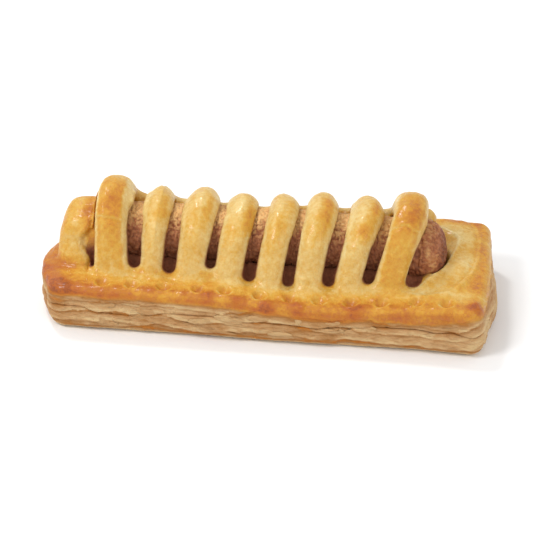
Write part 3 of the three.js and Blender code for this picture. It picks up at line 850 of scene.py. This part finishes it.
def crust_material(sizes):
    """Baked puff pastry: pale leaves at the sides, egg-washed gold on top, brown where the oven caught it"""
    material, tree, shader, place = principled(
        "baked_pastry", IOR=1.42, Coat_Roughness=0.22, Coat_Tint=(1.0, 0.95, 0.84),
        Specular_Tint=(1.0, 0.84, 0.58), Subsurface_Weight=0.1, Subsurface_Radius=(1.0, 0.55, 0.25),
        Subsurface_Scale=0.0016)
    stored = ("bake", "wash", "leafy", "moist", "cave")
    bake, wash, leafy, moist, cave = [attribute(tree, name) for name in stored]
    tone, relief = oven_tone(tree, place, CRUST_SPECKLES, 0.5)
    gold = ramp(tree, plus(bake, times(tone, 0.85), clamp=True), [
        (0.0, sizes.pale), (0.2, sizes.cream), (0.36, sizes.gold), (0.52, sizes.amber),
        (0.68, sizes.orange), (0.84, sizes.brown), (1.0, sizes.burnt)])
    level = result(tree, "ShaderNodeMapping", [("Vector", place), ("Scale", (0.3, 0.3, 1.0))])
    streaks = result(tree, "ShaderNodeTexNoise", [
        ("Vector", level), ("Scale", LEAF_STREAKS), ("Detail", 3.0)])
    leaf = ramp(tree, plus(bake, times(minus(streaks, 0.5), 0.3), clamp=True), [
        (0.0, sizes.leaf_light), (0.22, sizes.leaf), (0.5, sizes.leaf_deep), (0.72, sizes.orange),
        (1.0, sizes.burnt)])
    # Painted shade for the slit ends and the hollow: shade browns mottled with a darker one, and a lighter
    # one at the back of the hollow
    mottled = plus(times(tone, 3.0), 0.45, clamp=True)
    painted_shade_colour = mix(tree, mottled, mix(tree, cave, sizes.shade_brown, sizes.hollow_back_shade), sizes.shade_brown_deep)
    feed(shader["Base Color"], mix(tree, moist, mix(tree, leafy, gold, leaf), painted_shade_colour))
    feed(shader["Roughness"], minus(plus(times(relief, 0.35), 0.5), times(wash, 0.16), clamp=True))
    feed(shader["Coat Weight"], times(wash, stretch(tree, relief, 0.5, 0.75, 0.0, 1.0)))
    height = plus(times(relief, times(minus(1.0, leafy), 0.8)), times(streaks, times(leafy, 1.3)))
    feed(shader["Normal"], bump(tree, height, 0.9, 0.0008))
    return material


def meat_material(sizes):
    """Fried minced meat: tan and grainy on top, dark and glossier lower down and at the cut end; the
    darkening down the sides and in the grooves between the grains is painted shade
    """
    material, tree, shader, place = principled(
        "minced_meat", Specular_Tint=(1.0, 0.76, 0.56), Subsurface_Weight=0.12,
        Subsurface_Radius=(1.0, 0.4, 0.2), Subsurface_Scale=0.0012)
    dark, grain = attribute(tree, "dark"), attribute(tree, "grain")
    tone, relief = oven_tone(tree, place, MEAT_SPECKLES, 1.0)
    # Darker in the grooves between the grains: painted shade
    tone = plus(plus(dark, times(tone, 0.7)), times(minus(0.6, grain), 0.7), clamp=True)
    feed(shader["Base Color"], ramp(tree, tone, [
        (0.0, sizes.light), (0.3, sizes.tan), (0.6, sizes.deep), (1.0, sizes.dark)]))
    feed(shader["Roughness"], minus(0.72, times(dark, 0.25)))
    feed(shader["Normal"], bump(tree, relief, 0.6, 0.0004))
    return material


def colour(name, what, r, g, b):
    return FloatVectorProperty(name=name, description=what, subtype="COLOR", size=3, min=0, max=1,
                               default=linear(r, g, b))


def length(name, what, default, **limits):
    return FloatProperty(name=name, description=what, default=default, unit="LENGTH", precision=5, **limits)


def power(name, what, default):
    return FloatProperty(name=name, description=what, default=default, min=0, unit="POWER")


def bearing(name, what, degrees):
    return FloatProperty(name=name, description=what, default=math.radians(degrees), subtype="ANGLE")


def quantity(name, what, default, **limits):
    return FloatProperty(name=name, description=what, default=default, min=0, **limits)


def whole(name, what, default, **limits):
    return IntProperty(name=name, description=what, default=default, **limits)


class JacketSettings(bpy.types.PropertyGroup):
    """Sizes and colours of the pastry jacket"""

    top_grain: length("Top sheet grain", "Spacing of the points that the top sheet is made from", 0.0005,
                      min=0.0003, max=0.002)
    base_grain: length("Base grain", "Spacing of the points that the bottom sheet is made from", 0.00042,
                       min=0.0003, max=0.002)
    pale: colour("Pale dough", "Dough the oven has hardly touched", 228, 204, 142)
    cream: colour("Cream", "Feet and cut flanks of the strips", 218, 184, 112)
    gold: colour("Gold", "Egg-washed crust", 210, 162, 66)
    amber: colour("Amber", "Well baked crust", 202, 140, 44)
    orange: colour("Orange", "Crust on blisters and edges", 184, 112, 36)
    brown: colour("Brown", "Crust that caught the heat", 176, 94, 32)
    burnt: colour("Burnt", "Scorched crust", 132, 60, 26)
    leaf_light: colour("Light leaf", "Palest leaves of the sides", 208, 176, 128)
    leaf: colour("Leaf", "Usual leaves of the sides", 188, 146, 100)
    leaf_deep: colour("Deep leaf", "Leaves in the gaps and near the crust", 162, 110, 58)
    # Painted shade colours: browns that stand in for the shade at the slit ends and in the hollow, the last
    # one lighter for the back of the hollow
    shade_brown: colour("Juice", "Juice at the ends of the slits", 154, 92, 62)
    shade_brown_deep: colour("Deep juice", "Darkest spots of the juice", 118, 68, 48)
    hollow_back_shade: colour("Soaked dough", "Dough soaked by the sausage inside the hollow", 196, 128, 88)


class FlakeSettings(bpy.types.PropertyGroup):
    """Loose leaves on the laminated sides"""

    leaf_density: quantity("Leaf density", "Leaves on a square metre of side", 15000)
    leaf_length: length("Leaf length", "Half length of a usual leaf", 0.0044, min=0)
    leaf_seed: whole("Leaf seed", "Which scatter of leaves is used", 4, min=0)


class MeatSettings(bpy.types.PropertyGroup):
    """Sizes and colours of the sausage"""

    grain_depth: length("Grain depth", "Height of the minced grains", 0.001, min=0, max=0.002)
    around: whole("Points round", "Points round the sausage", 200, min=24, max=400)
    along: whole("Points along", "Points along the sausage", 440, min=40, max=900)
    # Meat colours from the top of the sausage down its sides and to the cut end: the darkening down the sides
    # is painted shade
    light: colour("Light meat", "Dry grains on top", 226, 180, 118)
    tan: colour("Tan meat", "Upper side", 200, 152, 98)
    deep: colour("Deep meat", "Lower side", 166, 102, 66)
    dark: colour("Dark meat", "Cut end and shaded hollows", 114, 62, 42)


class StudioSettings(bpy.types.PropertyGroup):
    """Camera and lights"""

    focal: quantity("Focal length", "Camera lens, in millimetres", 175.61, max=400)
    azimuth: bearing("Azimuth", "Turn of the camera round the roll", 7.1)
    elevation: bearing("Elevation", "Height of the camera over the table", 31.5)
    key_power: power("Key light", "Power of the main soft light", 3.1)
    crown_power: power("Crown light", "Power of the light from behind that makes the strips shine", 2.2)
    fill_power: power("Fill light", "Power of the weak light from the right", 1.6)
    sky: quantity("Room light", "Strength of the light from all round", 0.74)


def jacket_piece(name, step, levels, upper, material):
    """One dough sheet: the part of the jacket above or under the seam"""
    xs, ys, zs = np.arange(*GRID_X, step), np.arange(*GRID_Y, step), np.arange(*levels, step)
    field = jacket_field(xs, ys, zs)
    x2, y2 = [a.astype(np.float32) for a in np.meshgrid(xs, ys, indexing="ij")]
    seam = seam_height(*straight_plan(x2, y2))[:, :, None]
    level = zs.astype(np.float32)[None, None, :]
    cut = seam + SEAM_GAP - level if upper else level - seam + SEAM_GAP
    field = round_max(field, cut + 0 * field, SEAM_ROUND)
    points, quads = mesh_of_field(field, np.array([xs[0], ys[0], zs[0]]), step)
    piece = plant(name, points, quads, material)
    q = zones(points.astype(np.float32))
    at_seam = (np.abs(q["z"] - seam_height(q["x"], q["y"])) < 0.5) & (q["edge"] > 3.5)
    in_hollow = q["within"] & (q["z"] < 30) & (q["x"] < 54)
    underneath = (q["z"] < 0.25) & (q["edge"] > 3)
    thin_hidden(piece, at_seam | in_hollow | underneath)
    paint_jacket(piece)
    return piece


def claim(piece, cad_node):
    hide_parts(cad_node)
    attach(piece, "root")


class FRIKANDEL_OT_jacket(bpy.types.Operator):
    """Builds the golden top sheet with its slits, and the laminated bottom sheet"""

    bl_idname = "frikandel.jacket"
    bl_label = "Pastry jacket"

    def execute(self, context):
        sizes = context.scene.frikandel_jacket
        oven_tone_group()
        material = crust_material(sizes)
        coarse = 1.0
        top = jacket_piece("top_sheet", sizes.top_grain / MM * coarse, TOP_Z, True, material)
        base = jacket_piece("bottom_sheet", sizes.base_grain / MM * coarse, BASE_Z, False, material)
        for piece in (top, base):
            claim(piece, "pastry")
        return {"FINISHED"}


def flake_tree():
    """Scatters thin lens-shaped flakes that lie along a surface with their lower edges a little lifted"""
    tree, given, out = group_tree("scattered_flakes", "GeometryNodeTree", [
        ("Geometry", "Geometry", None), ("Density", "Float", 50000.0), ("Seed", "Int", 0),
        ("Length", "Float", 0.003), ("Height", "Float", 0.001), ("Thickness", "Float", 0.0002),
        ("Ruffle", "Float", 0.0006), ("Least bake", "Float", 0.0), ("Most bake", "Float", 0.3),
        ("Leafy", "Float", 1.0), ("Material", "Material", None)], [("Geometry", "Geometry")])

    def vector(operation, a, b):
        second = "Scale" if operation == "SCALE" else 1
        return result(tree, "ShaderNodeVectorMath", [(0, a), (second, b)], operation=operation)

    def geometry(kind, links, **values):
        return result(tree, "GeometryNode" + kind, links, **values)

    def chance(low, high, seed, kind="FLOAT"):
        made = node(tree, "FunctionNodeRandomValue", [("Seed", seed)], data_type=kind)
        ends = [i for i in made.inputs if i.enabled and i.name in ("Min", "Max")]
        for socket, value in zip(ends, (low, high)):
            feed(socket, value)
        return next(o for o in made.outputs if o.enabled)

    chosen = geometry("InputNamedAttribute", [("Name", "flaky")], data_type="FLOAT")
    spots = node(tree, "GeometryNodeDistributePointsOnFaces", [
        ("Mesh", given["Geometry"]), ("Density", times(chosen, given["Density"])), ("Seed", given["Seed"])])
    outwards = vector("MULTIPLY", spots.outputs["Normal"], (0.0, 1.0, 0.0))
    across = vector("CROSS_PRODUCT", outwards, (0.0, 0.0, 1.0))
    flat = result(tree, "FunctionNodeAlignRotationToVector", [("Vector", outwards)], axis="Z")
    level = result(tree, "FunctionNodeAlignRotationToVector", [("Rotation", flat), ("Vector", across)],
                   axis="X", pivot_axis="Z")
    turn = chance((-0.05, -0.04, -0.16), (0.14, 0.04, 0.16), TURN_SEED, "FLOAT_VECTOR")
    turned = result(tree, "FunctionNodeRotateRotation", [("Rotation", level), ("Rotate By", turn)],
                    rotation_space="LOCAL")
    size = result(tree, "ShaderNodeCombineXYZ", [
        ("X", given["Length"]), ("Y", given["Height"]), ("Z", given["Thickness"])])
    varied = vector("MULTIPLY", size, chance((0.45,) * 3, (1.5,) * 3, SIZE_SEED, "FLOAT_VECTOR"))
    lens = geometry("MeshIcoSphere", [("Radius", 1.0), ("Subdivisions", 3)])
    made = geometry("InstanceOnPoints", [
        ("Points", spots.outputs["Points"]), ("Instance", lens), ("Rotation", turned), ("Scale", varied)])
    bake = chance(given["Least bake"], given["Most bake"], BAKE_SEED)
    for name, value in (("bake", bake), ("leafy", given["Leafy"])):
        made = geometry("StoreNamedAttribute", [("Geometry", made), ("Name", name), ("Value", value)],
                        data_type="FLOAT", domain="INSTANCE")
    real = geometry("RealizeInstances", [("Geometry", made)])
    wave = node(tree, "ShaderNodeTexNoise", [("Scale", 420.0), ("Detail", 2.0)]).outputs["Color"]
    bent = vector("SCALE", vector("SUBTRACT", wave, (0.5, 0.5, 0.5)), given["Ruffle"])
    real = geometry("SetPosition", [("Geometry", real), ("Offset", bent)])
    real = geometry("SetShadeSmooth", [("Geometry", real)])
    feed(out["Geometry"], geometry("SetMaterial", [("Geometry", real), ("Material", given["Material"])]))


def scatter(name, sheet, chosen, values):
    """A piece of flakes scattered over the chosen vertices of a sheet"""
    mesh = sheet.data.copy()
    mesh.name = name
    piece = bpy.data.objects.new(name, mesh)
    bpy.context.scene.collection.objects.link(piece)
    store(piece, "flaky", chosen)
    spread = piece.modifiers.new("spread", "NODES")
    spread.node_group = bpy.data.node_groups["scattered_flakes"]
    for item in spread.node_group.interface.items_tree:
        if item.in_out == "INPUT" and item.name in values:
            spread[item.identifier] = values[item.name]
    bake_modifiers(piece)
    return piece


class FRIKANDEL_OT_flakes(bpy.types.Operator):
    """Scatters loose leaves over the long laminated sides"""

    bl_idname = "frikandel.flakes"
    bl_label = "Loose leaves"

    def execute(self, context):
        sizes = context.scene.frikandel_flakes
        flake_tree()
        leaves = {"Density": sizes.leaf_density, "Seed": sizes.leaf_seed, "Length": sizes.leaf_length,
                  "Height": sizes.leaf_length * 0.24, "Thickness": sizes.leaf_length * 0.05, "Ruffle": 0.0007,
                  "Least bake": 0.1, "Most bake": 0.34, "Leafy": 1.0,
                  "Material": bpy.data.materials["baked_pastry"]}
        for name in ("top_sheet", "bottom_sheet"):
            sheet = bpy.data.objects[name]
            q = zones(points_of(sheet))
            line = wash_line(q["x"], q["y"])
            side = smoothstep(q["z"], 2.0, 3.0) * fade(q["z"], line - 2.2, line - 1.4) * (q["edge"] < 1.2)
            side = side * (np.abs(q["x"]) < HALF_LENGTH - 9) * (np.abs(q["y"] - RIM_SHIFT) > HALF_WIDTH - 3)
            claim(scatter(name.replace("sheet", "leaves"), sheet, side, leaves), "pastry")
        return {"FINISHED"}


def sausage_rings(rings, around):
    """Rings of points round a smooth sausage, in millimetres"""
    middle, half = (MEAT_LEFT + MEAT_RIGHT) / 2, (MEAT_RIGHT - MEAT_LEFT) / 2
    share = np.linspace(-1, 1, rings)
    flat = half - MEAT_CAP
    over = np.clip((np.abs(share) - STRAIGHT_RINGS) / CAP_RINGS, 0, 1)
    along = np.where(np.abs(share) < STRAIGHT_RINGS, share / STRAIGHT_RINGS * flat, 0)
    along = np.where(over > 0, np.sign(share) * (flat + MEAT_CAP * np.sin(over * math.pi / 2)), along)
    radius = MEAT_RADIUS * np.where(over > 0, np.cos(over * math.pi / 2) ** 0.8, 1)
    radius[[0, -1]] = 0.0
    a = np.linspace(0, 2 * math.pi, around, endpoint=False)
    a = a - 0.4 * np.sin(a)
    x = np.repeat(middle + along, around)
    y = (radius[:, None] * np.sin(a)[None, :]).ravel()
    z = (radius[:, None] * np.cos(a)[None, :]).ravel() + MEAT_HEIGHT
    return np.stack([x, y, z + MEAT_SAG * np.cos((x - middle) / half * math.pi)], 1)


def ring_quads(rings, around):
    """Faces between neighbouring rings"""
    a = np.arange(around)
    b = (a + 1) % around
    ring = np.stack([a + around, b + around, b, a], 1)
    return (ring[None] + around * np.arange(rings - 1)[:, None, None]).reshape(-1, 4)


def minced(x, y, z):
    """Rounded crumbs of meat: 1 on their tops, 0 in the grooves between them"""
    warp = 0.6 * noise(x / 2.2, y / 2.2, z / 2.2)
    ridge = 1 - np.abs(noise(x / 1.25 + warp, y / 1.25, z / 1.25 - warp))
    small = 1 - np.abs(noise(x / 0.7 + 9, y / 0.7, z / 0.7 + warp))
    return np.clip(1.25 - 0.75 * ridge**3 - 0.4 * small**3, 0, 1)


def minced_points(p, depth):
    """Pushes the smooth sausage's points in and out, a little less at its cut end"""
    x, y, z = p[:, 0], p[:, 1], p[:, 2]
    lumps = noise(x / 3.2, y / 3.2, z / 3.2)
    pits = np.clip(noise(x / 0.8, y / 0.8, z / 0.8) - 0.35, 0, 1)
    axis = np.clip(x, MEAT_LEFT + MEAT_CAP, MEAT_RIGHT - MEAT_CAP)
    out = p - np.stack([axis, 0 * y, 0 * z + MEAT_HEIGHT], 1)
    out /= np.maximum(np.linalg.norm(out, axis=1), 1e-6)[:, None]
    calm = 1 - 0.2 * smoothstep(x, MEAT_RIGHT - 17, MEAT_RIGHT - 5)
    push = depth * (calm * (minced(x, y, z) - 0.75) + 0.5 * lumps - 0.7 * calm * pits) - 0.05
    return p + out * push[:, None]


def mend_poles(piece):
    """Closes the rings that shrink to a point and turns every face outwards"""
    work = bmesh.new()
    work.from_mesh(piece.data)
    bmesh.ops.remove_doubles(work, verts=work.verts, dist=1e-6)
    bmesh.ops.recalc_face_normals(work, faces=work.faces)
    work.to_mesh(piece.data)
    work.free()
    piece.data.polygons.foreach_set("use_smooth", np.ones(len(piece.data.polygons), bool))


def paint_sausage(piece):
    """Stores how dark the meat is, with painted shade down its sides, and how high its grains stand"""
    p = points_of(piece)
    x, y, z = p[:, 0], p[:, 1], p[:, 2]
    side = np.abs(np.degrees(np.arctan2(y, z - MEAT_HEIGHT)))
    end = smoothstep(x + 1.5 * noise(y / 4, z / 4), MEAT_RIGHT - 17, MEAT_RIGHT - 5)
    # Painted shade: darker from the top down the sides, and darker still underneath
    dark = 0.04 + 0.68 * smoothstep(side, 2, 58) + 0.18 * smoothstep(side, 86, 106)
    dark += 0.08 * rough(x / 3, y / 3, z / 3)
    blotch = 0.74 + 0.3 * rough(x / 2.1, y / 2.1, z / 2.1, 2)
    # Darker at the very tip of the cut end, which turns away from the light: painted shade
    blotch += 0.3 * smoothstep(x, MEAT_RIGHT - 3.5, MEAT_RIGHT - 0.5) - 0.12 * bell(x, MEAT_RIGHT - 6.5, 4)
    store(piece, "dark", lerp(dark, blotch, end))
    calm = np.maximum(0.4 * end, 0.6 * smoothstep(side, 40, 80) * (1 - end))
    store(piece, "grain", lerp(minced(x, y, z), 0.6, calm))


class FRIKANDEL_OT_sausage(bpy.types.Operator):
    """Builds the minced-meat sausage that lies in the jacket"""

    bl_idname = "frikandel.sausage"
    bl_label = "Sausage"

    def execute(self, context):
        sizes = context.scene.frikandel_meat
        points = minced_points(sausage_rings(sizes.along, sizes.around), sizes.grain_depth / MM)
        piece = plant("sausage", points, ring_quads(sizes.along, sizes.around), meat_material(sizes))
        mend_poles(piece)
        paint_sausage(piece)
        claim(piece, "frikandel")
        return {"FINISHED"}


# What the camera looks at, from the sausage's axis, and soft lights in metres: name, place and width
LOOK_AT, CAMERA_DISTANCE, FLOOR_REACH, LIT_PLACE = np.array([-3.7, 0.0, 12.2]), 1.0, 3.0, (0, 0, 0.02)
LIGHTS = (
    ("key", (-0.48, -0.34, 0.68), 0.3), ("crown", (-0.32, 0.36, 0.8), 0.16), ("fill", (0.7, -0.5, 0.45), 0.6))


def area_light(name, place, width, power):
    lamp = bpy.data.lights.new(name, "AREA")
    lamp.shape = "DISK"
    lamp.size = width
    lamp.energy = power
    holder = bpy.data.objects.new(name, lamp)
    holder.location = place
    holder.rotation_euler = (Vector(LIT_PLACE) - Vector(place)).to_track_quat("-Z", "Y").to_euler()
    bpy.context.scene.collection.objects.link(holder)


def studio_floor():
    """A large pale floor"""
    mesh = bpy.data.meshes.new("floor")
    r = FLOOR_REACH
    mesh.from_pydata([(-r, -r, 0), (r, -r, 0), (r, r, 0), (-r, r, 0)], [], [(0, 1, 2, 3)])
    piece = bpy.data.objects.new("floor", mesh)
    bpy.context.scene.collection.objects.link(piece)
    mesh.materials.append(principled("pale_floor", Base_Color=(0.92, 0.92, 0.92), Roughness=0.9)[0])


class FRIKANDEL_OT_studio(bpy.types.Operator):
    """Sets up the floor, the soft lights and the camera"""

    bl_idname = "frikandel.studio"
    bl_label = "Studio"

    def execute(self, context):
        sizes = context.scene.frikandel_studio
        a, e = sizes.azimuth, sizes.elevation
        away = Vector((math.sin(a) * math.cos(e), -math.cos(a) * math.cos(e), math.sin(e)))
        lens = bpy.data.cameras.new("camera")
        lens.lens = sizes.focal
        lens.sensor_width = 36
        lens.clip_start, lens.clip_end = 0.01, 20
        eye = bpy.data.objects.new("camera", lens)
        eye.location = Vector((LOOK_AT + SHIFT) * MM) + away * CAMERA_DISTANCE
        eye.rotation_euler = (-away).to_track_quat("-Z", "Y").to_euler()
        context.scene.collection.objects.link(eye)
        context.scene.camera = eye
        context.scene.view_settings.view_transform = "Standard"
        studio_floor()

        world = bpy.data.worlds.new("room")
        world.use_nodes = True
        sky = world.node_tree.nodes["Background"].inputs
        sky["Color"].default_value = (1.0, 1.0, 1.0, 1)
        sky["Strength"].default_value = sizes.sky
        context.scene.world = world
        for name, place, width in LIGHTS:
            area_light(name, place, width, getattr(sizes, name + "_power"))
        return {"FINISHED"}


class FRIKANDEL_PT_panel(bpy.types.Panel):
    """Lists the steps that build the roll"""

    bl_idname = "FRIKANDEL_PT_panel"
    bl_label = "Frikandel roll"
    bl_space_type = "VIEW_3D"
    bl_region_type = "UI"
    bl_category = "Frikandel"

    def draw(self, context):
        for operator in OPERATORS:
            self.layout.operator(operator.bl_idname)
        for settings in SETTINGS:
            box = self.layout.box()
            for key in SETTINGS[settings].__annotations__:
                box.prop(getattr(context.scene, settings), key)


OPERATORS = (FRIKANDEL_OT_jacket, FRIKANDEL_OT_flakes, FRIKANDEL_OT_sausage, FRIKANDEL_OT_studio)
SETTINGS = {"frikandel_jacket": JacketSettings, "frikandel_flakes": FlakeSettings,
            "frikandel_meat": MeatSettings, "frikandel_studio": StudioSettings}


def register():
    for settings in SETTINGS.values():
        bpy.utils.register_class(settings)
    for operator in OPERATORS:
        bpy.utils.register_class(operator)
    bpy.utils.register_class(FRIKANDEL_PT_panel)
    for key, settings in SETTINGS.items():
        setattr(bpy.types.Scene, key, PointerProperty(type=settings))


def unregister():
    for key in SETTINGS:
        delattr(bpy.types.Scene, key)
    bpy.utils.unregister_class(FRIKANDEL_PT_panel)
    for operator in reversed(OPERATORS):
        bpy.utils.unregister_class(operator)
    for settings in reversed(SETTINGS.values()):
        bpy.utils.unregister_class(settings)


def main():
    register()
    bpy.ops.frikandel.jacket()
    bpy.ops.frikandel.flakes()
    bpy.ops.frikandel.sausage()
    bpy.ops.frikandel.studio()


if __name__ == "__main__":
    main()
